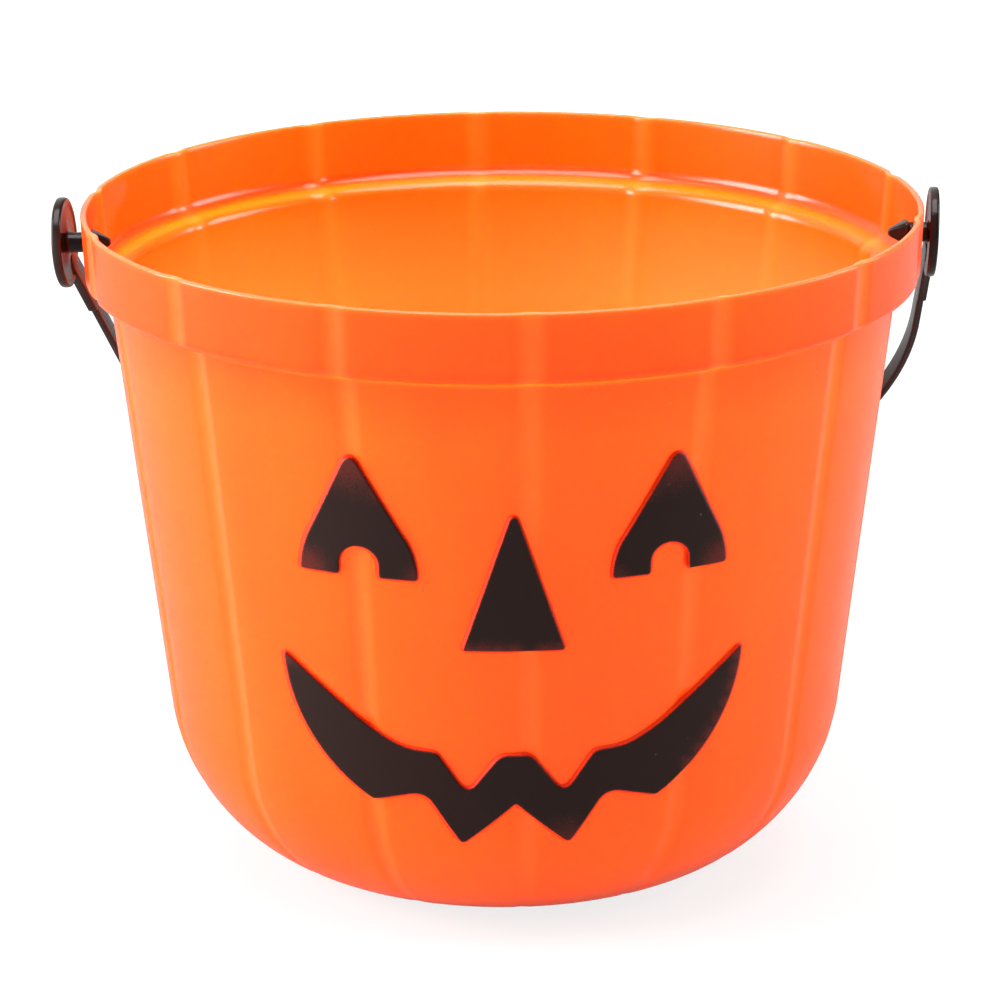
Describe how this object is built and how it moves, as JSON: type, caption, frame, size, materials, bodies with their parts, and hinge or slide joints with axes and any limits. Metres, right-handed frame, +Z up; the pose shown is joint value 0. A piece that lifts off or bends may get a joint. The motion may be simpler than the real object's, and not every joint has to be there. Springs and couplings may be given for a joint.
{
  "type": "pumpkin candy pail",
  "caption": "Round tapered plastic pail with upright lobes, a raised jack-o'-lantern face and a swinging black strap handle, for carrying sweets.",
  "frame": {"origin": "centre of the base, on the surface that the pail stands on", "axes": "+Z up, -Y the way the face looks, X along the handle's pins"},
  "size_m": [0.2285, 0.2166, 0.1758],
  "materials": {
    "orange_shell": "glossy, slightly translucent orange moulding",
    "black_handle": "glossy black moulding",
    "face_paint": "satin black sprayed paint"
  },
  "bodies": {
    "pail": {"pail_body": "orange_shell", "left_eye": "face_paint", "right_eye": "face_paint", "nose": "face_paint", "mouth": "face_paint"},
    "handle": {"handle": "black_handle"}
  },
  "joints": [
    {"name": "handle_swing", "type": "hinge", "parent": "pail", "child": "handle", "pos_m": [0, 0, 0.1641], "axis": [1, 0, 0], "range_deg": [0, 277]}
  ]
}
